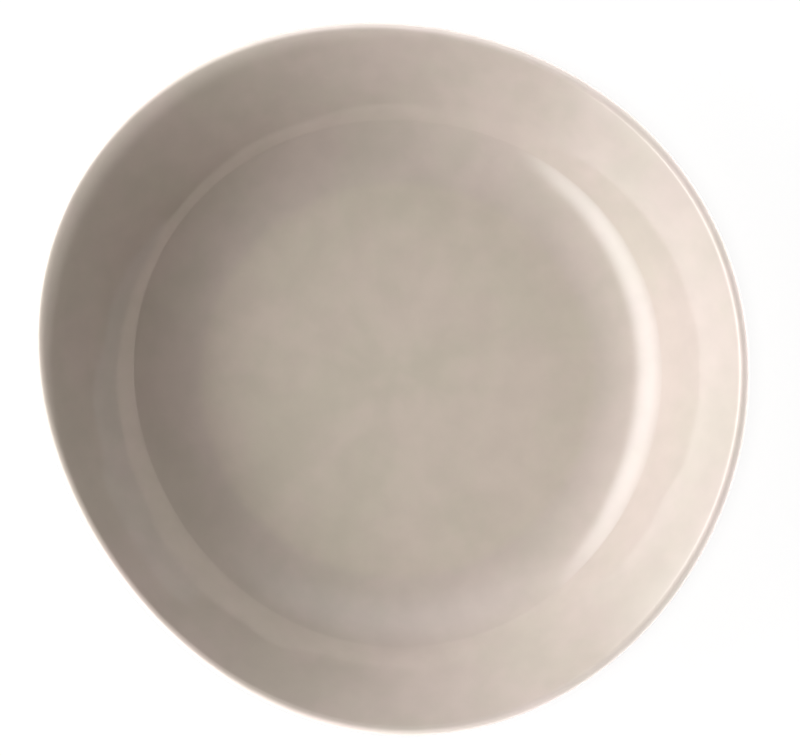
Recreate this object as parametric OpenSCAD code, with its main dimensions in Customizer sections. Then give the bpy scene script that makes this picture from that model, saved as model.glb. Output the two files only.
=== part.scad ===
// Deep plate with a free-form outline: a round foot and a nearly round well
// open into a wall whose rim runs in two and three soft lobes.
// Millimetres, +Z up, the plate stands on z = 0 and the origin lies under the
// middle of the rim's bounding box.

/* [Rim outline] */
// mean outer width over the lip
plate_w = 250; // [220:1:290]
// two-lobed swell of the rim, as a share of its radius
rim_two_share = 0.0244; // [0:0.0004:0.034]
// direction of the first of the two lobes
rim_two_turn = 135.5; // [0:0.5:180]
// three-lobed swell of the rim, as a share of its radius
rim_three_share = 0.0169; // [0:0.0001:0.024]
// direction of the first of the three lobes
rim_three_turn = 30; // [0:0.5:120]
// middle of the rim, left to right
rim_x = 0.3; // [-4:0.1:4]
// middle of the rim, front to back
rim_y = 2; // [-4:0.1:4]
// how far the rim rises where the wall runs farther out, 1 keeps its slope
rim_rise_share = 0.55; // [0:0.05:1]
// how late the wall takes up the rim's outline, 1 is evenly from the crease
wall_ease = 1.4; // [1:0.1:2]

/* [Well] */
// middle of the foot and the well, left to right
well_x = 1.9; // [-4:0.1:4]
// middle of the foot and the well, front to back
well_y = -0.4; // [-4:0.1:4]
// width of the flat floor
floor_w = 136; // [120:1:146]
// width at the crease between well and wall
crease_w = 188; // [176:1:196]
// slope of the well just below the crease
well_slope = 38.5; // [30:0.5:44]
// share of the rim's two-lobed swell that is left at the crease
crease_two_share = 0.23; // [0:0.01:1]
// share of the rim's three-lobed swell that is left at the crease
crease_three_share = 0.78; // [0:0.01:1]

/* [Wall] */
// slope of the wall just above the crease
shoulder_slope = 47.5; // [46:0.5:54]
// slope where the shoulder ends
wall_slope = 44; // [40:0.5:45]
// slope at the rim
rim_slope = 38.5; // [30:0.5:39]
// share of the wall's run that the shoulder takes
shoulder_run_share = 0.25; // [0.1:0.01:0.4]
// thickness of the fired body
wall_t = 4.1; // [3:0.1:5.5]

/* [Foot] */
// outer width of the foot ring at its root
foot_w = 132; // [110:1:134]
// height of the foot ring
foot_h = 3.6; // [3:0.1:6]
// width of the foot ring at its root
foot_band = 5; // [4:0.1:8]
// inward lean of the foot ring's sides over its height
foot_lean = 0.5; // [0.2:0.1:0.8]
// rounding of the foot ring's edges
foot_edge_r = 0.9; // [0.4:0.1:1.2]

/* [Glaze] */
// thickness of the glaze
glaze_t = 0.25; // [0.15:0.05:0.4]
// bare line between the glaze and the root of the foot ring
bare_line = 0.3; // [0.2:0.05:1]
// climb of the glaze up the inside of the foot ring
glaze_climb = 0.8; // [0.5:0.1:1.2]

/* [Hidden] */

ring_steps = 72;
well_steps = 6;
shoulder_steps = 2;
wall_steps = 4;
lip_steps = 9;
edge_steps = 6;
climb_steps = 6;
round_fn = 144;

body_color = [0.93, 0.92, 0.89];
coat_color = [0.75, 0.69, 0.62];
recess_color = [0.72, 0.66, 0.6];

full_turn = 360;
half_turn = 180;
quarter_turn = 90;
two = 2;
three = 3;
half = 0.5;

lip_r = wall_t / two;
lip_rho = plate_w / two - lip_r - glaze_t;
wall_end_rho = lip_rho - lip_r * sin(rim_slope);
floor_rho = floor_w / two;
crease_rho = crease_w / two;
floor_z = foot_h + wall_t;
well_r = (crease_rho - floor_rho) / sin(well_slope);
crease_z = floor_z + well_r * (1 - cos(well_slope));
shoulder_rho = crease_rho + shoulder_run_share * (wall_end_rho - crease_rho);
crease_tilt = (well_slope + shoulder_slope) * half;
foot_out_r = foot_w / two;
foot_in_r = foot_out_r - foot_band;
foot_root = wall_t * half;
coat_end_rho = foot_out_r + bare_line;

// Blend from 0 at the floor's edge to 1 at the crease, with soft ends.
function clamp_share(x) = max(0, min(1, x));
function soft_share(x) = x * x * (three - two * x);
function well_share(rho) =
    soft_share(clamp_share((rho - floor_rho) / (crease_rho - floor_rho)));

// Blend from 0 at the crease to 1 at the lip, slow at first.
function wall_share(rho) =
    pow(clamp_share((rho - crease_rho) / (lip_rho - crease_rho)), wall_ease);

// What is left of one of the rim's swells at the distance rho.
function kept(rho, at_crease) =
    at_crease * well_share(rho) + (1 - at_crease) * wall_share(rho);

// Swell of the outline in the direction a at the distance rho.
function two_swell(a, rho) =
    rim_two_share * kept(rho, crease_two_share) * cos(two * (a - rim_two_turn));
function three_swell(a, rho) =
    rim_three_share * kept(rho, crease_three_share) * cos(three * (a - rim_three_turn));
function swell(a, rho) = two_swell(a, rho) + three_swell(a, rho);

// Middle of the outline at the distance rho.
function middle(rho) = [
    well_x + (rim_x - well_x) * wall_share(rho),
    well_y + (rim_y - well_y) * wall_share(rho)
];

// How much farther the wall runs out in the direction a than it does on the mean.
function extra_run(a) =
    lip_rho * swell(a, lip_rho) - crease_rho * swell(a, crease_rho)
    + (rim_x - well_x) * cos(a) + (rim_y - well_y) * sin(a);

function rise(a, rho) =
    rim_rise_share * wall_share(rho) * extra_run(a) * tan(rim_slope);

// Place on the plate of the section point [rho, z] in the direction a.
function spot(a, rho, z) = [
    middle(rho)[0] + rho * (1 + swell(a, rho)) * cos(a),
    middle(rho)[1] + rho * (1 + swell(a, rho)) * sin(a),
    z + rise(a, rho)
];

// An arc of the section whose slope goes from one value to another over a run.
// Each point is [rho, z, tilt], where tilt is the lean of the surface's normal.
function arc_r(run, from, to) = run / (sin(to) - sin(from));
function arc_line(rho, z, run, from, to, steps) = [
    for (i = [1:steps])
        let (
            a = from + (to - from) * i / steps,
            r = arc_r(run, from, to)
        )
        [rho + r * (sin(a) - sin(from)), z + r * (cos(from) - cos(a)), a]
];

function last(line) = line[len(line) - 1];

// Inside of the fired body, from the floor's edge to where the lip starts.
well_line = arc_line(floor_rho, floor_z, crease_rho - floor_rho, 0, well_slope, well_steps);
crease_point = [crease_rho, crease_z, crease_tilt];
shoulder_line = arc_line(
    crease_rho, crease_z, shoulder_rho - crease_rho,
    shoulder_slope, wall_slope, shoulder_steps
);
wall_line = arc_line(
    shoulder_rho, last(shoulder_line)[1], wall_end_rho - shoulder_rho,
    wall_slope, rim_slope, wall_steps
);
inside_line = concat(
    [[floor_rho, floor_z, 0]],
    [for (i = [0:well_steps - two]) well_line[i]],
    [crease_point],
    shoulder_line,
    wall_line
);

// Round lip, from the inside over the top to the outside.
lip_z = last(wall_line)[1] - lip_r * cos(rim_slope);
lip_line = [
    for (i = [1:lip_steps - 1])
        let (tilt = rim_slope - half_turn * i / lip_steps)
        [lip_rho - lip_r * sin(tilt), lip_z + lip_r * cos(tilt), tilt]
];

// Outside of the fired body, a wall's thickness behind the inside.
function moved(point, d) = [
    point[0] - d * sin(point[2]),
    point[1] + d * cos(point[2]),
    point[2]
];
outside_line = [
    for (i = [len(inside_line) - 1:-1:0])
        let (p = moved(inside_line[i], -wall_t))
        [p[0], p[1], p[2] - half_turn]
];

body_line = concat(inside_line, lip_line, outside_line);
coat_core = concat(body_line, [[coat_end_rho, foot_h, -half_turn]]);
coat_skin = [for (p = coat_core) moved(p, glaze_t)];

// Points of every ring that a section line draws round the plate.
function rings(line) = [
    for (p = line)
        for (k = [0:ring_steps - 1])
            spot(full_turn * k / ring_steps, p[0], p[1])
];

// Faces of a closed skin over a chain of rings, with a middle point at each end.
function band_faces(count) = [
    for (j = [0:count - two])
        for (k = [0:ring_steps - 1])
            let (
                n = (k + 1) % ring_steps,
                a = j * ring_steps + k,
                b = j * ring_steps + n,
                c = b + ring_steps,
                d = a + ring_steps
            )
            each [[a, b, c], [a, c, d]]
];
function start_faces(tip) = [
    for (k = [0:ring_steps - 1])
        [tip, (k + 1) % ring_steps, k]
];
function end_faces(count, tip) = [
    for (k = [0:ring_steps - 1])
        let (first = (count - 1) * ring_steps)
        [tip, first + k, first + (k + 1) % ring_steps]
];

// Solid bounded by the rings of a section line that starts and ends over the middle.
module turned_skin(line, start_z, end_z) {
    count = len(line);
    tip = count * ring_steps;
    polyhedron(
        points = concat(
            rings(line),
            [[well_x, well_y, start_z], [well_x, well_y, end_z]]
        ),
        faces = concat(
            start_faces(tip),
            band_faces(count),
            end_faces(count, tip + 1)
        )
    );
}

// Foot ring with leaning sides and round edges, turned about the well's middle.
function edge_arc(x, z, from, to) = [
    for (i = [0:edge_steps])
        let (a = from + (to - from) * i / edge_steps)
        [x + foot_edge_r * cos(a), z + foot_edge_r * sin(a)]
];

module foot_ring() {
    outer_x = foot_out_r - foot_lean - foot_edge_r;
    inner_x = foot_in_r + foot_lean + foot_edge_r;
    translate([well_x, well_y, 0])
        rotate_extrude($fn = round_fn)
            polygon(concat(
                [[foot_in_r, foot_h + foot_root], [foot_in_r, foot_h]],
                edge_arc(inner_x, foot_edge_r, half_turn, half_turn + quarter_turn),
                edge_arc(outer_x, foot_edge_r, -quarter_turn, 0),
                [[foot_out_r, foot_h], [foot_out_r, foot_h + foot_root]]
            ));
}

// Fired body: lofted shell with the foot ring grown out of its flat underside.
module porcelain_body() {
    color(body_color)
        union() {
            turned_skin(body_line, floor_z, foot_h);
            foot_ring();
        }
}

// Glaze over the inside, the lip and the outside down to the foot ring.
module glaze_coat() {
    skin_end = len(coat_core) - 1;
    line = concat(coat_skin, [for (i = [skin_end:-1:0]) coat_core[i]]);
    color(coat_color)
        turned_skin(line, floor_z + glaze_t, floor_z);
}

// Inner side of the foot ring at the height z.
function foot_side(z) = foot_in_r + foot_lean * (foot_h - z) / (foot_h - foot_edge_r);

// Glaze on the underside inside the foot ring, climbing a little at its edge.
module foot_recess_glaze() {
    low_z = foot_h - glaze_t;
    climb_z = low_z - glaze_climb;
    wall_x = foot_side(climb_z);
    color(recess_color)
        translate([well_x, well_y, 0])
            rotate_extrude($fn = round_fn)
                polygon(concat(
                    [[0, foot_h], [0, low_z]],
                    [
                        for (i = [0:climb_steps])
                            let (a = quarter_turn * i / climb_steps)
                            [
                                wall_x - glaze_climb * (1 - sin(a)),
                                low_z - glaze_climb * (1 - cos(a))
                            ]
                    ],
                    [[foot_in_r, foot_h]]
                ));
}

porcelain_body();
glaze_coat();
foot_recess_glaze();
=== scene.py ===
"""Looks of a free-form deep plate in greige glazed porcelain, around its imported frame.

The plate is a fired body, a skin of glossy glaze over it and a glazed recess inside its foot ring.
Each is a surface worked out on rings: a half section is carried round the plate, and an outline of
two and three soft lobes moves its points in and out. The plate's own sizes are in millimetres until
a mesh is made. The patches of its finishes, the lamps and the floor are in metres.
"""

import logging
import math
from dataclasses import dataclass
from enum import Enum

import bpy
import numpy as np
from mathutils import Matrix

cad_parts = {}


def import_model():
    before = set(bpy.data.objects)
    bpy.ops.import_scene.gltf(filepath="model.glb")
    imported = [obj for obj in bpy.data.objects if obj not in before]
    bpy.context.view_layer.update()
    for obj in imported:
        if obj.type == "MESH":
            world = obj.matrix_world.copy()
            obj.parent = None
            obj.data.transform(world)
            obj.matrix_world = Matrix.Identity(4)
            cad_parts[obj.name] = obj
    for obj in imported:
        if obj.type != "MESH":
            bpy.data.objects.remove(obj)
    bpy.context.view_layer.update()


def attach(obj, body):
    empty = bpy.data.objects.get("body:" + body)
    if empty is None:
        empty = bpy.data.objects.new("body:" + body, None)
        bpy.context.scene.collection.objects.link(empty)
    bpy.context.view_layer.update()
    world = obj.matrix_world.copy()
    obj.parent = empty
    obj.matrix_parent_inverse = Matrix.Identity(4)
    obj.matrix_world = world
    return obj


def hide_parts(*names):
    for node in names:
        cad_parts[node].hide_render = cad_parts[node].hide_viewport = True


Array = np.ndarray
Color = tuple[float, float, float]
Span = tuple[float, float]
Socket = bpy.types.NodeSocket

MM = 0.001
HALF_TURN = math.pi
QUARTER_TURN = HALF_TURN / 2.0
FULL_TURN = 2.0 * HALF_TURN
WHOLE: Span = (0.0, 1.0)
PHOTO_WIDTH_PX = 800
PHOTO_HEIGHT_PX = 756

# The Mix node gives several of its sockets the same name, so its colour sockets go by number.
MIX_LOW, MIX_HIGH, MIX_RESULT = 6, 7, 2
NOISE_MEAN = 0.5
PANEL_MIDDLE = 0.5

log = logging.getLogger("deep_plate")


class Node(Enum):
    """CAD nodes that the pieces stand for."""

    BODY = "porcelain_body"
    COAT = "glaze_coat"
    RECESS = "foot_recess_glaze"


class Slot(Enum):
    """Material slots of the record."""

    BARE = "bare_porcelain"
    COAT = "coat_glaze"
    RECESS = "recess_glaze"


class Trait(Enum):
    """Values kept on the rings for the finishes to read."""

    # On the coat this also carries painted light: paleness that leans round the lip.
    THIN = "glaze_thin"
    POOLED = "glaze_pooled"
    WORN = "foot_worn"


def soft_step(x: Array) -> Array:
    """Blend from 0 to 1 with soft ends: three x squared less two x cubed.

    Args:
        x: Places on the blend, cut to the span from 0 to 1.

    Returns:
        The blend at each place.
    """
    x = np.clip(x, 0.0, 1.0)
    return x * x * (3.0 - 2.0 * x)


@dataclass(frozen=True)
class Line:
    """A line of the half section. Tilt is the lean of its normal towards the middle."""

    rho: Array
    z: Array
    tilt: Array

    def part(self, keep: Array | slice) -> "Line":
        """The points that keep picks out, in its order."""
        return Line(self.rho[keep], self.z[keep], self.tilt[keep])

    def backwards(self) -> "Line":
        """The same line from its end to its start."""
        return self.part(slice(None, None, -1))

    def thinned(self, step: int) -> "Line":
        """Every so many points of the line, with its last one kept."""
        return self.part(np.unique(np.append(np.arange(0, len(self.rho), step), len(self.rho) - 1)))

    def moved(self, distance: float) -> "Line":
        """The line moved along its normal by a distance."""
        rho = self.rho - distance * np.sin(self.tilt)
        return Line(rho, self.z + distance * np.cos(self.tilt), self.tilt)

    def other_side(self, thickness: float) -> "Line":
        """The far side of a wall of that thickness, run through backwards."""
        far = self.moved(-thickness).backwards()
        return Line(far.rho, far.z, far.tilt - HALF_TURN)

    @staticmethod
    def joined(*lines: "Line") -> "Line":
        """Lines set end to end as one."""
        parts = [np.concatenate([getattr(a, name) for a in lines]) for name in ("rho", "z", "tilt")]
        return Line(*parts)

    @staticmethod
    def flat(rho: Array, z: float, tilt: float) -> "Line":
        """A level stretch through the distances rho."""
        return Line(rho, np.full(len(rho), z), np.full(len(rho), tilt))

    @staticmethod
    def level(start: float, end: float, z: float, tilt: float, rings: int) -> "Line":
        """A level stretch of even steps, without its end point."""
        return Line.flat(np.linspace(start, end, rings, endpoint=False), z, tilt)

    @staticmethod
    def arc(middle: tuple[float, float], radius: float, tilts: Array) -> "Line":
        """A round stretch: its middle moved by the radius along each normal."""
        rho = middle[0] - radius * np.sin(tilts)
        return Line(rho, middle[1] + radius * np.cos(tilts), tilts)


@dataclass(frozen=True)
class Outline:
    """Free-form outline: round at the foot, nearly round at the crease, softly lobed at the rim."""

    lip_rho: float
    crease_rho: float
    floor_rho: float
    rim_slope: float
    rim_two_share: float = 0.0244
    rim_two_turn: float = math.radians(135.5)
    rim_three_share: float = 0.0169
    rim_three_turn: float = math.radians(30.0)
    rim_middle: tuple[float, float] = (0.3, 2.0)
    well_middle: tuple[float, float] = (1.9, -0.4)
    rim_rise_share: float = 0.55
    wall_ease: float = 1.4
    crease_two_share: float = 0.23
    crease_three_share: float = 0.78

    def well_share(self, rho: Array) -> Array:
        """Blend from 0 at the floor's edge to 1 at the crease."""
        return soft_step((rho - self.floor_rho) / (self.crease_rho - self.floor_rho))

    def wall_share(self, rho: Array) -> Array:
        """Blend from 0 at the crease to 1 at the lip, slow at first."""
        share = (rho - self.crease_rho) / (self.lip_rho - self.crease_rho)
        return np.clip(share, 0.0, 1.0) ** self.wall_ease

    def swell(self, azimuth: Array, rho: Array) -> Array:
        """Share by which the outline lies outside a circle.

        The sum of a cosine of twice and a cosine of three times the azimuth, each with what is left
        of its rim share at the distance rho.

        Args:
            azimuth: Directions round the plate, in radians.
            rho: Distances from the middle, in millimetres.

        Returns:
            The swell, as a share of rho.
        """
        well, wall = self.well_share(rho), self.wall_share(rho)
        two = self.crease_two_share * well + (1.0 - self.crease_two_share) * wall
        three = self.crease_three_share * well + (1.0 - self.crease_three_share) * wall
        lobes = self.rim_two_share * two * np.cos(2.0 * (azimuth - self.rim_two_turn))
        return lobes + self.rim_three_share * three * np.cos(3.0 * (azimuth - self.rim_three_turn))

    def extra_run(self, azimuth: Array) -> Array:
        """How much farther the wall runs out in a direction than it does on the mean.

        The lip's reach less the crease's, and the slide of the middle along that direction.

        Args:
            azimuth: Directions round the plate, in radians.

        Returns:
            The extra run in each direction, in millimetres.
        """
        shift = np.subtract(self.rim_middle, self.well_middle)
        lip = self.lip_rho * self.swell(azimuth, np.full_like(azimuth, self.lip_rho))
        crease = self.crease_rho * self.swell(azimuth, np.full_like(azimuth, self.crease_rho))
        return lip - crease + shift[0] * np.cos(azimuth) + shift[1] * np.sin(azimuth)

    def place(self, line: Line, turns: Array) -> Array:
        """Carries a line of the half section round the plate.

        Each point goes out by rho times one plus the swell, from a middle that slides from the
        well's to the rim's, and the rim rises where the wall runs farther out.

        Args:
            line: The line, in millimetres.
            turns: Directions of the section's copies, in radians.

        Returns:
            Points by ring and by direction, in millimetres.
        """
        azimuth, rho = np.meshgrid(turns, line.rho)
        wall = self.wall_share(rho)
        reach = rho * (1.0 + self.swell(azimuth, rho))
        x = self.well_middle[0] + (self.rim_middle[0] - self.well_middle[0]) * wall
        y = self.well_middle[1] + (self.rim_middle[1] - self.well_middle[1]) * wall
        rise = self.rim_rise_share * math.tan(self.rim_slope) * wall * self.extra_run(azimuth)
        z = line.z[:, None] + rise
        return np.stack([x + reach * np.cos(azimuth), y + reach * np.sin(azimuth), z], axis=-1)


@dataclass(frozen=True)
class Section:
    """Half section of the fired body: flat floor, well, crease, wall, round lip and foot ring."""

    plate_w: float = 250.0
    floor_w: float = 136.0
    crease_w: float = 188.0
    well_slope: float = math.radians(38.5)
    shoulder_slope: float = math.radians(47.5)
    wall_slope: float = math.radians(44.0)
    rim_slope: float = math.radians(38.5)
    shoulder_run_share: float = 0.25
    wall_t: float = 4.1
    crease_blend: float = 1.1
    glaze_t: float = 0.25
    foot_w: float = 132.0
    foot_h: float = 3.6
    foot_band: float = 5.0
    foot_lean: float = 0.5
    foot_edge_r: float = 0.9
    foot_root_r: float = 0.22
    bare_line: float = 0.3
    first_ring: float = 2.5
    grid_step: float = 0.02
    close_blends: float = 6.0
    inside_rings_by_stretch: tuple[int, ...] = (16, 44, 16, 14)
    wall_rings: int = 40
    root_rings: int = 6
    edge_rings: int = 10
    rest_rings: int = 8

    @property
    def lip_r(self) -> float:
        """Radius of the round lip of the body."""
        return self.wall_t / 2.0

    @property
    def lip_rho(self) -> float:
        """Distance of the middle of the round lip."""
        return self.plate_w / 2.0 - self.lip_r - self.glaze_t

    @property
    def wall_end_rho(self) -> float:
        """Distance at which the wall turns into the lip."""
        return self.lip_rho - self.lip_r * math.sin(self.rim_slope)

    @property
    def floor_rho(self) -> float:
        """Distance of the floor's edge."""
        return self.floor_w / 2.0

    @property
    def crease_rho(self) -> float:
        """Distance of the crease."""
        return self.crease_w / 2.0

    @property
    def floor_z(self) -> float:
        """Height of the floor."""
        return self.foot_h + self.wall_t

    @property
    def coat_end_rho(self) -> float:
        """Distance on the underside at which the coat of glaze ends."""
        return self.foot_w / 2.0 + self.bare_line

    def outline(self) -> Outline:
        """The outline that fits this section."""
        return Outline(self.lip_rho, self.crease_rho, self.floor_rho, self.rim_slope)

    def inside(self, rho: Array) -> Line:
        """Inside of the body at the distances rho, from the floor to where the lip starts.

        The sine of the slope runs straight between its named values, which makes each stretch an
        arc. It is averaged over the blend of the crease, and the height is the running sum of the
        slope's tangent.

        Args:
            rho: Distances from the middle, in millimetres.

        Returns:
            The line through those distances.
        """
        shoulder_run = self.shoulder_run_share * (self.wall_end_rho - self.crease_rho)
        edge = self.crease_rho + self.grid_step
        knots = (0.0, self.floor_rho, self.crease_rho, edge, edge + shoulder_run, self.wall_end_rho)
        slopes = (0.0, 0.0, self.well_slope, self.shoulder_slope, self.wall_slope, self.rim_slope)
        grid = np.arange(0.0, self.wall_end_rho + self.crease_blend, self.grid_step)
        sine = np.interp(grid, knots, np.sin(slopes))
        width = int(round(self.crease_blend / self.grid_step)) | 1
        window = np.hanning(width + 2)[1:-1]
        padded = np.pad(sine, width // 2, mode="edge")
        slope = np.arcsin(np.convolve(padded, window / window.sum(), mode="valid"))
        rises = np.tan(slope) * self.grid_step
        height = self.floor_z + np.cumsum(rises) - rises / 2.0
        return Line(rho, np.interp(rho, grid, height), np.interp(rho, grid, slope))

    def inside_rings(self) -> Line:
        """Inside of the body on rings that are close together at the crease.

        Returns:
            The line from the first ring of the floor to where the lip starts.
        """
        before, after = self.crease_rho - self.crease_blend, self.crease_rho + self.crease_blend
        close_end = self.crease_rho + self.close_blends * self.crease_blend
        ends = (self.first_ring, self.floor_rho, before, after, close_end)
        stretches = [
            np.linspace(start, end, count, endpoint=False)
            for start, end, count in zip(ends, ends[1:], self.inside_rings_by_stretch)
        ]
        wall = np.linspace(close_end, self.wall_end_rho, self.wall_rings)
        return self.inside(np.concatenate([*stretches, wall]))

    def beyond_floor(self, inside: Line) -> Line:
        """What of the inside's line lies beyond the floor's edge."""
        return inside.part(inside.rho > self.floor_rho)

    def lip(self, rings: int) -> Line:
        """Half circle from the inside over the top to the outside, without its two ends.

        Args:
            rings: Number of points on it.

        Returns:
            The line over the lip.
        """
        end = self.inside(np.array([self.wall_end_rho]))
        middle_z = end.z[0] - self.lip_r * math.cos(self.rim_slope)
        tilts = np.linspace(self.rim_slope, self.rim_slope - HALF_TURN, rings + 2)[1:-1]
        return Line.arc((self.lip_rho, middle_z), self.lip_r, tilts)

    def shell(self, step: int, lip_rings: int) -> Line:
        """Inside, lip and outside of the body, down to the floor's edge on the underside.

        Args:
            step: How many of the inside's rings go for one ring of the shell.
            lip_rings: Number of rings on the lip.

        Returns:
            The line from the middle of the floor to the flat of the underside.
        """
        inside = self.inside_rings().thinned(step)
        outside = self.beyond_floor(inside).other_side(self.wall_t)
        return Line.joined(inside, self.lip(lip_rings), outside)

    def foot_side_rho(self, z: float) -> float:
        """Distance of the foot ring's inner side at the height z."""
        fall = (self.foot_h - z) / (self.foot_h - self.foot_edge_r)
        return self.foot_w / 2.0 - self.foot_band + self.foot_lean * fall

    def foot(self) -> Line:
        """Foot ring from its outer root over the rest face to its inner root.

        Two leaning sides, each with a small hollow fillet at the root and a round edge below, and a
        flat rest face between the edges.

        Returns:
            The line from the underside outside the ring to the underside inside it.
        """
        outer_rho, inner_rho = self.foot_w / 2.0, self.foot_w / 2.0 - self.foot_band
        root, edge, down = self.foot_root_r, self.foot_edge_r, -HALF_TURN
        hollow = np.linspace(0.0, QUARTER_TURN, self.root_rings)
        outer_root = Line(
            outer_rho + root * (1.0 - np.sin(hollow)),
            self.foot_h - root * (1.0 - np.cos(hollow)),
            down + hollow,
        )
        turn = np.linspace(-QUARTER_TURN, down, self.edge_rings)
        outer_edge = Line.arc((outer_rho - self.foot_lean - edge, edge), edge, turn)
        inner_edge = Line.arc((inner_rho + self.foot_lean + edge, edge), edge, turn - QUARTER_TURN)
        inner_root = Line(
            inner_rho - root * (1.0 - np.cos(hollow)),
            self.foot_h - root * (1.0 - np.sin(hollow)),
            down - QUARTER_TURN + hollow,
        )
        rest = Line.level(outer_edge.rho[-1], inner_edge.rho[0], 0.0, down, self.rest_rings)
        return Line.joined(outer_root, outer_edge, rest, inner_edge, inner_root)


@dataclass(frozen=True)
class Undulation:
    """Faint waviness of a poured glaze: plane waves of several lengths that cross each other."""

    depth: float = 0.0145
    longest: float = 46.0
    shortest: float = 17.0
    waves: int = 9
    turn_step: float = math.radians(137.5)
    phase_step: float = 2.4

    def depth_at(self, points: Array) -> Array:
        """Depth of the waves at points of the plate.

        The sum of sines along directions that turn by a fixed angle from wave to wave, with lengths
        that fall evenly from the longest to the shortest.

        Args:
            points: Places by ring and direction, in millimetres.

        Returns:
            The depth at each place, in millimetres.
        """
        index = np.arange(self.waves)
        length = np.linspace(self.longest, self.shortest, self.waves)
        turn = index * self.turn_step
        across = np.stack([np.cos(turn), np.sin(turn), np.cos(turn + self.phase_step)], axis=-1)
        phase = FULL_TURN * (points @ (across / length[:, None]).T) + index * self.phase_step
        return self.depth * (np.sin(phase) * (length / self.longest)).sum(axis=-1)


def azimuths(count: int) -> Array:
    """Directions evenly round the plate, in radians."""
    return np.arange(count) * (FULL_TURN / count)


def ring_skin(name: str, rings: Array, traits: dict[Trait, Array]) -> bpy.types.Object:
    """Makes a closed surface through rings of points.

    Neighbouring rings are joined by four-sided faces, and the first and the last ring by a fan of
    triangles to a point at the mean of each. The faces point outwards where the rings run from the
    top over the lip to the underside.

    Args:
        name: Name of the piece.
        rings: Points by ring and by direction, in millimetres.
        traits: Values by ring and by direction, for the finish to read.

    Returns:
        The piece, at the origin, with its place in its mesh.
    """
    count, round_count = rings.shape[:2]
    tips = rings[[0, -1]].mean(axis=1)
    points = np.concatenate([rings.reshape(-1, 3), tips]) * MM
    around = np.arange(round_count)
    beside = (around + 1) % round_count
    row = np.arange(count - 1)[:, None] * round_count
    next_row = row + round_count
    quads = np.stack([row + around, next_row + around, next_row + beside, row + beside], axis=-1)
    first_tip, last_tip = count * round_count, count * round_count + 1
    last_row = (count - 1) * round_count
    first_fan = np.stack([np.full(round_count, first_tip), around, beside], axis=-1)
    last_around, last_beside = last_row + around, last_row + beside
    last_fan = np.stack([np.full(round_count, last_tip), last_beside, last_around], axis=-1)
    faces = quads.reshape(-1, 4).tolist() + first_fan.tolist() + last_fan.tolist()
    mesh = bpy.data.meshes.new(name)
    mesh.from_pydata(points.tolist(), [], faces)
    mesh.polygons.foreach_set("use_smooth", np.ones(len(faces), dtype=bool))
    for trait, values in traits.items():
        ends = np.array([values[0].mean(), values[-1].mean()])
        layer = mesh.attributes.new(trait.value, "FLOAT", "POINT")
        layer.data.foreach_set("value", np.concatenate([values.ravel(), ends]).astype(np.float32))
    mesh.update()
    piece = bpy.data.objects.new(name, mesh)
    bpy.context.scene.collection.objects.link(piece)
    return piece


@dataclass(frozen=True)
class Grain:
    """A noise: the size of its patches in metres, and how much finer detail lies in them."""

    size: float
    detail: float


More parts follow.
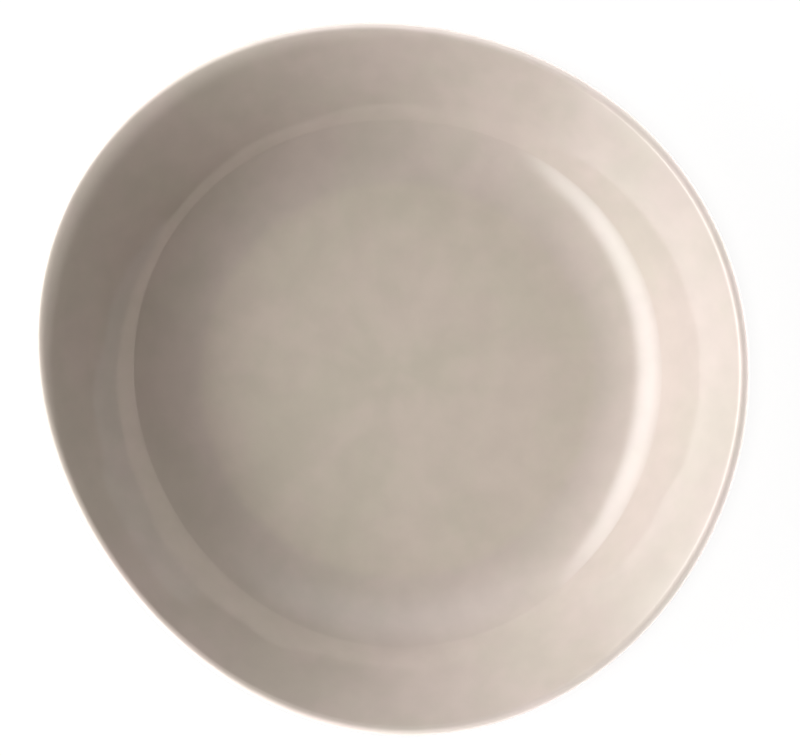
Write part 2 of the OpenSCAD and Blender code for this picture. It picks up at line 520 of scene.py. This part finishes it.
class Nodes:
    """The node tree of a material, a lamp or the world, with short calls to add and join nodes."""

    def __init__(self, tree: bpy.types.NodeTree) -> None:
        """Empties the tree and keeps it."""
        tree.nodes.clear()
        self.tree = tree

    def add(self, kind: str, **values: object) -> bpy.types.Node:
        """Adds a node and fills its sockets.

        Args:
            kind: Type name of the node.
            **values: A value or an output socket for each input socket, which is named in small
                letters with _ for its spaces.

        Returns:
            The node.
        """
        node = self.tree.nodes.new(kind)
        sockets = {socket.name.lower().replace(" ", "_"): socket for socket in reversed(node.inputs)}
        for name, value in values.items():
            self.feed(sockets[name], value)
        return node

    def feed(self, socket: Socket, value: object) -> None:
        """Sets a socket to a value, or links an output socket to it.

        Args:
            socket: The input socket.
            value: A number, a colour or an output socket.
        """
        if isinstance(value, Socket):
            self.tree.links.new(value, socket)
        elif isinstance(value, tuple) and len(value) == 3 and socket.type == "RGBA":
            socket.default_value = (*value, 1.0)
        else:
            socket.default_value = value

    def fill(self, node: bpy.types.Node, *values: object) -> bpy.types.Node:
        """Fills a node's first sockets in their order.

        Args:
            node: The node.
            *values: A value or an output socket for each.

        Returns:
            The same node.
        """
        for socket, value in zip(node.inputs, values):
            self.feed(socket, value)
        return node

    def mix(self, share: object, low: object, high: object) -> Socket:
        """Mixes two colours.

        Args:
            share: How much of the high colour there is.
            low: The colour at a share of 0.
            high: The colour at a share of 1.

        Returns:
            The mixed colour.
        """
        node = self.tree.nodes.new("ShaderNodeMix")
        node.data_type = "RGBA"
        self.feed(node.inputs["Factor"], share)
        self.feed(node.inputs[MIX_LOW], low)
        self.feed(node.inputs[MIX_HIGH], high)
        return node.outputs[MIX_RESULT]

    def times(self, color: object, factor: object) -> Socket:
        """Multiplies two colours.

        Args:
            color: A colour.
            factor: The colour or number that it is multiplied by.

        Returns:
            The product.
        """
        result = self.mix(1.0, color, factor)
        result.node.blend_type = "MULTIPLY"
        return result

    def math(self, operation: str, *values: object) -> Socket:
        """Works out one sum.

        Args:
            operation: Blender's name of the sum.
            *values: The one to three values that it takes.

        Returns:
            The result.
        """
        node = self.tree.nodes.new("ShaderNodeMath")
        node.operation = operation
        return self.fill(node, *values).outputs[0]

    def spread(self, value: object, ends: Span, to: Span) -> Socket:
        """Carries a value from one span to another with soft ends.

        Args:
            value: The value.
            ends: The span that it comes from.
            to: The span that it is carried to.

        Returns:
            The value in its new span.
        """
        node = self.tree.nodes.new("ShaderNodeMapRange")
        node.interpolation_type = "SMOOTHSTEP"
        return self.fill(node, value, *ends, *to).outputs[0]

    def ramp(self, value: object, stops: tuple[Span, ...]) -> Socket:
        """Reads a share off a row of stops.

        Args:
            value: The place on the row, from 0 to 1.
            stops: A place and its share for each stop.

        Returns:
            The share at that place.
        """
        node = self.tree.nodes.new("ShaderNodeValToRGB")
        elements = node.color_ramp.elements
        for element, (place, _) in zip(elements, (stops[0], stops[-1])):
            element.position = place
        for place, _ in stops[1:-1]:
            elements.new(place)
        for element, (_, share) in zip(elements, stops):
            element.color = (share, share, share, 1.0)
        return self.fill(node, value).outputs[0]

    def noise(self, grain: Grain, place: Socket) -> Socket:
        """Noise of that grain at a place."""
        kind = "ShaderNodeTexNoise"
        return self.add(kind, scale=1.0 / grain.size, detail=grain.detail, vector=place).outputs[0]

    def trait(self, trait: Trait) -> Socket:
        """Reads a value kept on the rings.

        Args:
            trait: Which value.

        Returns:
            The value.
        """
        node = self.tree.nodes.new("ShaderNodeAttribute")
        node.attribute_name = trait.value
        return node.outputs["Fac"]

    def both(self, first: bpy.types.Node, second: bpy.types.Node) -> bpy.types.Node:
        """Adds two shaders up."""
        node = self.tree.nodes.new("ShaderNodeAddShader")
        return self.fill(node, first.outputs[0], second.outputs[0])

    def either(self, share: Socket, low: bpy.types.Node, high: bpy.types.Node) -> bpy.types.Node:
        """Mixes two shaders by a share."""
        node = self.tree.nodes.new("ShaderNodeMixShader")
        return self.fill(node, share, low.outputs[0], high.outputs[0])

    def surface(self, relief: Socket, height: float, **values: object) -> None:
        """Ends a material in a principled surface.

        Args:
            relief: Pattern of its fine relief.
            height: Height of the relief, in metres.
            **values: Values for the surface's other sockets, as for add.
        """
        bump = self.add("ShaderNodeBump", strength=1.0, distance=height, height=relief)
        shader = self.add("ShaderNodeBsdfPrincipled", normal=bump.outputs[0], **values)
        self.add("ShaderNodeOutputMaterial", surface=shader.outputs[0])


@dataclass(frozen=True)
class Finish:
    """What every finish shares: a material that is made on Object coordinates."""

    name: str

    def make(self) -> bpy.types.Material:
        """Builds the material.

        Returns:
            The material.
        """
        material = bpy.data.materials.new(self.name)
        material.use_nodes = True
        nodes = Nodes(material.node_tree)
        self.shade(nodes, nodes.add("ShaderNodeTexCoord").outputs["Object"])
        return material

    def shade(self, nodes: Nodes, place: Socket) -> None:
        """Adds the nodes of the finish, which each kind of finish does in its own way."""
        raise NotImplementedError


@dataclass(frozen=True)
class GlazeFinish(Finish):
    """Glossy greige glaze with soft clouds of colour, paler where it lies thin."""

    wall: Color = (0.656, 0.572, 0.501)
    floor: Color = (0.682, 0.602, 0.511)
    thin: Color = (0.93, 0.822, 0.748)
    cool_shift: Color = (0.97, 0.99, 0.975)
    warm_shift: Color = (1.026, 1.01, 1.028)
    clouds: Grain = Grain(0.03, 3.0)
    mottle: Grain = Grain(0.006, 2.0)
    mottle_share: float = 0.35
    flow: Grain = Grain(0.011, 4.0)
    flow_shade: float = 0.024
    noise_span: Span = (0.3, 0.7)
    roughness: Span = (0.045, 0.065)
    ior: float = 1.67
    peel: Grain = Grain(0.0035, 1.0)
    peel_height: float = 0.000004

    def shade(self, nodes: Nodes, place: Socket) -> None:
        """Adds the glaze's colour by its depth, shifted by clouds and mottling, and its gloss.

        Args:
            nodes: The material's tree.
            place: The place on the plate.
        """
        clouds, mottle = nodes.noise(self.clouds, place), nodes.noise(self.mottle, place)
        mottling = nodes.math("SUBTRACT", mottle, NOISE_MEAN)
        blend = nodes.math("MULTIPLY_ADD", mottling, self.mottle_share, clouds)
        warmth = nodes.spread(blend, self.noise_span, WHOLE)
        shift = nodes.mix(warmth, self.cool_shift, self.warm_shift)
        deep = nodes.mix(nodes.trait(Trait.POOLED), self.wall, self.floor)
        tint = nodes.times(nodes.mix(nodes.trait(Trait.THIN), deep, self.thin), shift)
        shades = (1.0 - self.flow_shade, 1.0 + self.flow_shade)
        flow = nodes.spread(nodes.noise(self.flow, place), self.noise_span, shades)
        color = nodes.times(tint, flow)
        rough = nodes.spread(mottle, self.noise_span, self.roughness)
        peel = nodes.noise(self.peel, place)
        nodes.surface(peel, self.peel_height, base_color=color, roughness=rough, ior=self.ior)


@dataclass(frozen=True)
class BareFinish(Finish):
    """Unglazed fired porcelain: chalky off-white with fine specks, greyed where the foot rubs."""

    base: Color = (0.83, 0.79, 0.73)
    deep: Color = (0.76, 0.71, 0.64)
    worn: Color = (0.6, 0.58, 0.55)
    speck: Color = (0.42, 0.35, 0.28)
    clouds: Grain = Grain(0.006, 4.0)
    noise_span: Span = (0.35, 0.65)
    specks: Grain = Grain(0.0006, 1.0)
    speck_span: Span = (0.7, 0.78)
    speck_share: float = 0.35
    scuffs: Grain = Grain(0.0012, 3.0)
    scuff_share: float = 0.7
    roughness: float = 0.62
    worn_roughness: float = 0.38
    grain: Grain = Grain(0.00025, 2.0)
    grain_height: float = 0.00002

    def shade(self, nodes: Nodes, place: Socket) -> None:
        """Adds the clay's clouded colour, its specks and the wear of the foot.

        Args:
            nodes: The material's tree.
            place: The place on the plate.
        """
        clouds = nodes.spread(nodes.noise(self.clouds, place), self.noise_span, WHOLE)
        fired = nodes.mix(clouds, self.base, self.deep)
        speckle = nodes.noise(self.specks, place)
        specks = nodes.spread(speckle, self.speck_span, (0.0, self.speck_share))
        marked = nodes.mix(specks, fired, self.speck)
        rubbing = nodes.noise(self.scuffs, place)
        scuffs = nodes.spread(rubbing, self.noise_span, (0.0, self.scuff_share))
        wear = nodes.math("MULTIPLY", nodes.trait(Trait.WORN), scuffs)
        color = nodes.mix(wear, marked, self.worn)
        rough = nodes.spread(wear, WHOLE, (self.roughness, self.worn_roughness))
        grain = nodes.noise(self.grain, place)
        nodes.surface(grain, self.grain_height, base_color=color, roughness=rough)


@dataclass(frozen=True)
class Piece:
    """What every piece of the plate shares."""

    section: Section
    node: Node
    slot: Slot
    finish: Finish
    round_count: int = 320
    body: str = "root"

    def build(self) -> bpy.types.Object:
        """Builds the bare piece, which each kind of piece does in its own way."""
        raise NotImplementedError

    def dress(self, piece: bpy.types.Object) -> None:
        """Gives the piece its finish."""
        piece.data.materials.append(self.finish.make())

    def seat(self, piece: bpy.types.Object) -> None:
        """Lets the piece ride on the plate in the place of its CAD node.

        Args:
            piece: The piece.
        """
        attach(piece, self.body)
        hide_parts(self.node.value)

    def all_round(self, values: Array) -> Array:
        """Values by ring, made the same in every direction."""
        return np.repeat(values[:, None], self.round_count, axis=1)


@dataclass(frozen=True)
class PorcelainBody(Piece):
    """The fired body with its foot ring, seen where the glaze leaves it bare."""

    ring_step: int = 4
    lip_rings: int = 9
    under_rings: int = 4
    recess_rings: int = 10
    worn_height: float = 0.45

    def build(self) -> bpy.types.Object:
        """Builds the body as one closed skin from the floor over the lip to the foot and back.

        Returns:
            The body.
        """
        section = self.section
        foot, foot_h = section.foot(), section.foot_h
        shell = section.shell(self.ring_step, self.lip_rings)
        under = Line.level(shell.rho[-1], foot.rho[0], foot_h, -HALF_TURN, self.under_rings)
        recess = Line.level(foot.rho[-1], section.first_ring, foot_h, -HALF_TURN, self.recess_rings)
        line = Line.joined(shell, under.part(slice(1, None)), foot, recess)
        rings = section.outline().place(line, azimuths(self.round_count))
        worn = self.all_round(soft_step(1.0 - line.z / self.worn_height))
        return ring_skin("porcelain_body_fired", rings, {Trait.WORN: worn})


@dataclass(frozen=True)
class GlazeCoat(Piece):
    """The skin of glaze over the inside, the lip and the outside down to the foot ring."""

    lip_rings: int = 24
    outside_step: int = 2
    end_rings: int = 12
    core_step: int = 5
    lip_thinning: float = 0.78
    end_length: float = 0.7
    pool_edge: float = 5.0
    pale_start: float = 0.3
    pale_run: float = 1.7
    # Painted light: paleness starts sooner on the lip's side away from the window panel, later facing
    # it.
    painted_light_lean: float = 1.2
    painted_light_side: float = math.radians(5.0)
    undulation: Undulation = Undulation()

    def core(self) -> tuple[Line, Array]:
        """Line of the body under the glaze, with how much each point lies on the lip.

        Returns:
            The line down to the coat's end, and a share that is 1 at the middle of the lip.
        """
        section = self.section
        inside, lip = section.inside_rings(), section.lip(self.lip_rings)
        outside = section.beyond_floor(inside).thinned(self.outside_step).other_side(section.wall_t)
        ease = np.sqrt(np.linspace(0.0, 1.0, self.end_rings))[1:]
        rho = outside.rho[-1] + (section.coat_end_rho - outside.rho[-1]) * ease
        line = Line.joined(inside, lip, outside, Line.flat(rho, section.foot_h, -HALF_TURN))
        over_lip = np.zeros(len(line.rho))
        first, last = len(inside.rho), len(inside.rho) + self.lip_rings
        over_lip[first:last] = np.sin(np.linspace(0.0, HALF_TURN, self.lip_rings + 2)[1:-1])
        return line, over_lip

    def end_share(self, core: Line) -> Array:
        """Share of the thickness by ring: a quarter circle down to 0 at the end, and 1 elsewhere."""
        left = np.clip((core.rho - self.section.coat_end_rho) / self.end_length, 0.0, 1.0)
        return np.where(core.tilt < -QUARTER_TURN, np.sqrt(1.0 - (1.0 - left) ** 2), 1.0)

    def paleness_and_painted_light(self, core: Line, turns: Array) -> Array:
        """Share of the pale lip's colour by ring and direction, thin glaze plus painted light."""
        # The lean of the start round the plate is painted light: a painted highlight on one side,
        # painted shade on the other.
        start = self.pale_start - self.painted_light_lean * np.cos(turns - self.painted_light_side)
        return soft_step((core.rho[:, None] - self.section.wall_end_rho - start) / self.pale_run)

    def pooling(self, core: Line) -> Array:
        """Share of the floor's colour by ring, from 1 on the floor to 0 in the well."""
        share = soft_step((self.section.floor_rho + self.pool_edge - core.rho) / self.pool_edge)
        return share * (core.tilt > -QUARTER_TURN)

    def build(self) -> bpy.types.Object:
        """Builds the coat as a closed skin: its outer face, and the body's face run back under it.

        The glaze keeps its thickness but for the lip, where it thins, and its end, where it rounds
        off to nothing as a quarter circle does. Faint waves go through its outer face. It turns
        pale over the lip, where it thins; the pale band starts sooner on the side away from the
        window panel and later on the side facing it, which is painted light on the lip.

        Returns:
            The coat.
        """
        section, outline = self.section, self.section.outline()
        core, over_lip = self.core()
        turns = azimuths(self.round_count)
        base = outline.place(core, turns)
        normal = outline.place(core.moved(1.0), turns) - base
        thickness = section.glaze_t * (1.0 - self.lip_thinning * over_lip) * self.end_share(core)
        waves = self.undulation.depth_at(base) * (thickness / section.glaze_t)[:, None]
        skin = base + (thickness[:, None] + waves)[..., None] * normal
        back = outline.place(core.thinned(self.core_step).backwards(), turns)[1:]
        hidden = np.zeros(back.shape[:2])
        traits = {
            Trait.THIN: np.concatenate([self.paleness_and_painted_light(core, turns), hidden]),
            Trait.POOLED: np.concatenate([self.all_round(self.pooling(core)), hidden]),
        }
        return ring_skin("glaze_coat_glossy", np.concatenate([skin, back]), traits)


@dataclass(frozen=True)
class RecessGlaze(Piece):
    """The glaze inside the foot ring, which climbs a little where it meets the ring."""

    climb: float = 0.8
    face_rings: int = 14
    climb_rings: int = 14

    def build(self) -> bpy.types.Object:
        """Builds the glaze as a closed disc whose lower face ends in a hollow quarter circle.

        Returns:
            The glaze of the recess.
        """
        section = self.section
        low_z = section.foot_h - section.glaze_t
        wall_rho = section.foot_side_rho(low_z - self.climb)
        turn = np.linspace(0.0, QUARTER_TURN, self.climb_rings)
        hollow_rho = wall_rho - self.climb * (1.0 - np.sin(turn))
        hollow_z = low_z - self.climb * (1.0 - np.cos(turn))
        hollow = Line(hollow_rho, hollow_z, -HALF_TURN + turn)
        face = Line.level(section.first_ring, hollow_rho[0], low_z, -HALF_TURN, self.face_rings)
        root_rho = section.foot_side_rho(section.foot_h)
        top = Line.level(root_rho, section.first_ring, section.foot_h, 0.0, self.face_rings)
        line = Line.joined(face, hollow, top)
        rings = section.outline().place(line, azimuths(self.round_count))
        climbing = soft_step((line.rho - hollow_rho[0]) / self.climb) * (line.z < low_z)
        return ring_skin("foot_recess_glossy", rings[:, ::-1], {Trait.THIN: self.all_round(climbing)})


@dataclass(frozen=True)
class Panel:
    """A panel light that stands upright beside the plate and faces it, in metres.

    Its rise is its share of light by height: pairs of a place from 0 at the lower edge to 1 at the
    upper edge, and a share. Its sides fade over a share of half its width. The glaze shows it where
    it is mirrored, and it sheds light on the plate and the floor where it lights them.
    """

    name: str
    azimuth: float
    low: float
    high: float
    width: float
    radiance: float
    side_fade: float
    distance: float = 1.6
    color: Color = (0.98, 1.0, 1.05)
    rise: tuple[Span, ...] = ((0.0, 1.0), (1.0, 1.0))
    mirrored: bool = True
    lights: bool = True

    def build(self) -> bpy.types.Object:
        """Builds the panel as an area lamp that faces the plate along the level.

        The lamp's power is pi times its radiance times its area.

        Returns:
            The lamp.
        """
        height = self.high - self.low
        data = bpy.data.lights.new(self.name, "AREA")
        data.shape = "RECTANGLE"
        data.size, data.size_y = self.width, height
        data.energy = self.radiance * math.pi * self.width * height
        data.use_nodes = True
        nodes = Nodes(data.node_tree)
        across_up = nodes.add("ShaderNodeNewGeometry").outputs["Parametric"]
        across, up, _ = nodes.add("ShaderNodeSeparateXYZ", vector=across_up).outputs
        aside = nodes.math("ABSOLUTE", nodes.math("SUBTRACT", across, PANEL_MIDDLE))
        fade_start = PANEL_MIDDLE - PANEL_MIDDLE * self.side_fade
        side = nodes.spread(aside, (fade_start, PANEL_MIDDLE), (1.0, 0.0))
        share = nodes.math("MULTIPLY", nodes.ramp(up, self.rise), side)
        glow = nodes.add("ShaderNodeEmission", color=self.color, strength=share)
        nodes.add("ShaderNodeOutputLight", surface=glow.outputs[0])
        lamp = bpy.data.objects.new(self.name, data)
        bpy.context.scene.collection.objects.link(lamp)
        lamp.location = (
            self.distance * math.cos(self.azimuth),
            self.distance * math.sin(self.azimuth),
            (self.low + self.high) / 2.0,
        )
        lamp.rotation_euler = (QUARTER_TURN, 0.0, self.azimuth + QUARTER_TURN)
        lamp.visible_camera = False
        lamp.visible_glossy = self.mirrored
        lamp.visible_diffuse = self.lights
        return lamp


WINDOW = Panel(
    name="window_panel",
    azimuth=math.radians(186.5),
    low=0.1,
    high=2.0,
    width=5.6,
    radiance=5.1,
    side_fade=0.72,
    color=(1.0, 1.0, 1.01),
    rise=(
        (0.0, 0.03),
        (0.08, 0.03),
        (0.088, 0.27),
        (0.23, 0.22),
        (0.27, 0.34),
        (0.34, 0.56),
        (0.4, 0.73),
        (0.49, 0.83),
        (0.6, 0.82),
        (0.7, 0.67),
        (0.8, 0.38),
        (0.9, 0.12),
        (1.0, 0.0),
    ),
)
WASH = Panel(
    name="wash_panel",
    azimuth=math.radians(182.0),
    low=0.22,
    high=1.0,
    width=1.2,
    radiance=6.65,
    side_fade=0.1,
    mirrored=False,
)
FILL = Panel(
    name="fill_panel",
    azimuth=math.radians(68.0),
    low=0.1,
    high=1.2,
    width=1.2,
    radiance=2.0,
    side_fade=0.1,
    mirrored=False,
)
CARD = Panel(
    name="low_card",
    azimuth=math.radians(6.0),
    low=0.08,
    high=0.34,
    width=2.78,
    radiance=0.31,
    side_fade=0.08,
)
SHEEN = Panel(
    name="side_sheen",
    azimuth=math.radians(88.0),
    distance=0.9,
    low=0.4,
    high=3.2,
    width=2.2,
    radiance=0.6,
    side_fade=0.8,
    rise=((0.0, 0.0), (0.08, 0.5), (0.2, 1.0), (0.35, 0.85), (0.6, 0.45), (1.0, 0.0)),
    lights=False,
)
LIP_STRIPS = tuple(
    Panel(
        name=f"lip_strip_{turn}",
        azimuth=math.radians(turn),
        low=0.0,
        high=0.048,
        width=3.2,
        radiance=radiance,
        side_fade=0.2,
        mirrored=False,
    )
    for turn, radiance in ((280, 34.0), (0, 64.0), (80, 23.0))
)


@dataclass(frozen=True)
class Studio:
    """Pale floor, soft panel lights, dim room and a camera straight above the plate.

    The floor's lengths are in metres, and the camera's are in millimetres.
    """

    panels: tuple[Panel, ...] = (WINDOW, WASH, FILL, CARD, SHEEN, *LIP_STRIPS)
    room: float = 0.21
    room_color: Color = (1.07, 1.0, 0.93)
    floor_reach: float = 16.0
    floor_glow: float = 0.93
    floor_tint: float = 0.13
    floor_bounce: float = 0.8
    floor_light: float = 0.15
    painted_shadow_reach: float = 0.035
    painted_shadow_glow: float = 0.25
    mm_per_px: float = 0.35
    photo_plane_z: float = 42.0
    camera_height: float = 1500.0
    middle_px: tuple[float, float] = (392.5, 379.0)
    sensor: float = 36.0

    def build(self) -> None:
        """Sets the floor, the lights, the room and the camera."""
        self.build_floor()
        for panel in self.panels:
            panel.build()
        self.build_room()
        self.build_camera()
        bpy.context.scene.view_settings.view_transform = "Standard"

    def build_floor(self) -> None:
        """Lays a level floor under the plate."""
        reach = self.floor_reach
        signs = ((-1, -1), (1, -1), (1, 1), (-1, 1))
        square = [(x_sign * reach, y_sign * reach, 0.0) for x_sign, y_sign in signs]
        mesh = bpy.data.meshes.new("studio_floor")
        mesh.from_pydata(square, [], [(0, 1, 2, 3)])
        floor = bpy.data.objects.new("studio_floor", mesh)
        bpy.context.scene.collection.objects.link(floor)
        floor.data.materials.append(self.floor_paper())

    def floor_paper(self) -> bpy.types.Material:
        """Builds the floor's paper, which shows nearly white and keeps the plate's shadow.

        To the camera, and to glossy and transmission rays, it is a glow of its own plus a thin share
        of the light that falls on it. The glow fades close to what stands on it, as a painted contact
        shadow. To other rays it is a pale surface with a little glow, so that the plate's outside is
        bright as in the photo. From below it is clear, so that the plate's foot shows.

        Returns:
            The material.
        """
        material = bpy.data.materials.new("studio_floor_paper")
        material.use_nodes = True
        nodes = Nodes(material.node_tree)
        ray = nodes.add("ShaderNodeLightPath").outputs
        mirrored = nodes.math("MAXIMUM", ray["Is Glossy Ray"], ray["Is Transmission Ray"])
        seen = nodes.math("MAXIMUM", ray["Is Camera Ray"], mirrored)
        # Painted contact shadow: ambient occlusion dims the floor's glow close to the plate.
        near = nodes.add("ShaderNodeAmbientOcclusion", distance=self.painted_shadow_reach)
        clear = nodes.spread(near.outputs["AO"], WHOLE, (self.painted_shadow_glow, 1.0))
        strength = nodes.math("MULTIPLY", clear, self.floor_glow)
        glow = nodes.add("ShaderNodeEmission", strength=strength)
        tint = nodes.add("ShaderNodeBsdfDiffuse", color=(self.floor_tint,) * 3)
        pale = nodes.add("ShaderNodeBsdfDiffuse", color=(self.floor_bounce,) * 3)
        faint_glow = nodes.add("ShaderNodeEmission", strength=self.floor_light)
        above = nodes.either(seen, nodes.both(pale, faint_glow), nodes.both(glow, tint))
        below = nodes.add("ShaderNodeBsdfTransparent")
        from_below = nodes.add("ShaderNodeNewGeometry").outputs["Backfacing"]
        paper = nodes.either(from_below, above, below)
        nodes.add("ShaderNodeOutputMaterial", surface=paper.outputs[0])
        return material

    def build_room(self) -> None:
        """Fills the room with a little even light, which the glaze doesn't mirror."""
        world = bpy.data.worlds.new("studio_room")
        bpy.context.scene.world = world
        world.use_nodes = True
        nodes = Nodes(world.node_tree)
        room = nodes.add("ShaderNodeBackground", color=self.room_color, strength=self.room)
        nodes.add("ShaderNodeOutputWorld", surface=room.outputs[0])
        world.cycles_visibility.glossy = False

    def build_camera(self) -> None:
        """Hangs the camera over the frame's middle, so that the rim lies as it does in the photo."""
        data = bpy.data.cameras.new("photo_camera")
        camera = bpy.data.objects.new("photo_camera", data)
        bpy.context.scene.collection.objects.link(camera)
        bpy.context.scene.camera = camera
        data.sensor_width = self.sensor
        data.lens = self.sensor * self.camera_height / (PHOTO_WIDTH_PX * self.mm_per_px)
        data.dof.use_dof = False
        right = (PHOTO_WIDTH_PX / 2.0 - self.middle_px[0]) * self.mm_per_px
        up = (self.middle_px[1] - PHOTO_HEIGHT_PX / 2.0) * self.mm_per_px
        camera.location = (right * MM, up * MM, (self.photo_plane_z + self.camera_height) * MM)


def main() -> None:
    """Builds the plate around its frame, dresses it, and sets the studio."""
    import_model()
    logging.basicConfig(level=logging.INFO, format="%(name)s: %(message)s")
    section = Section()
    makers = (
        PorcelainBody(section, Node.BODY, Slot.BARE, BareFinish("bare_porcelain")),
        GlazeCoat(section, Node.COAT, Slot.COAT, GlazeFinish("greige_glaze")),
        RecessGlaze(section, Node.RECESS, Slot.RECESS, GlazeFinish("recess_glaze")),
    )
    for maker in makers:
        piece = maker.build()
        maker.dress(piece)
        maker.seat(piece)
        log.info("%s: %d faces", piece.name, len(piece.data.polygons))
    Studio().build()


if __name__ == "__main__":
    main()
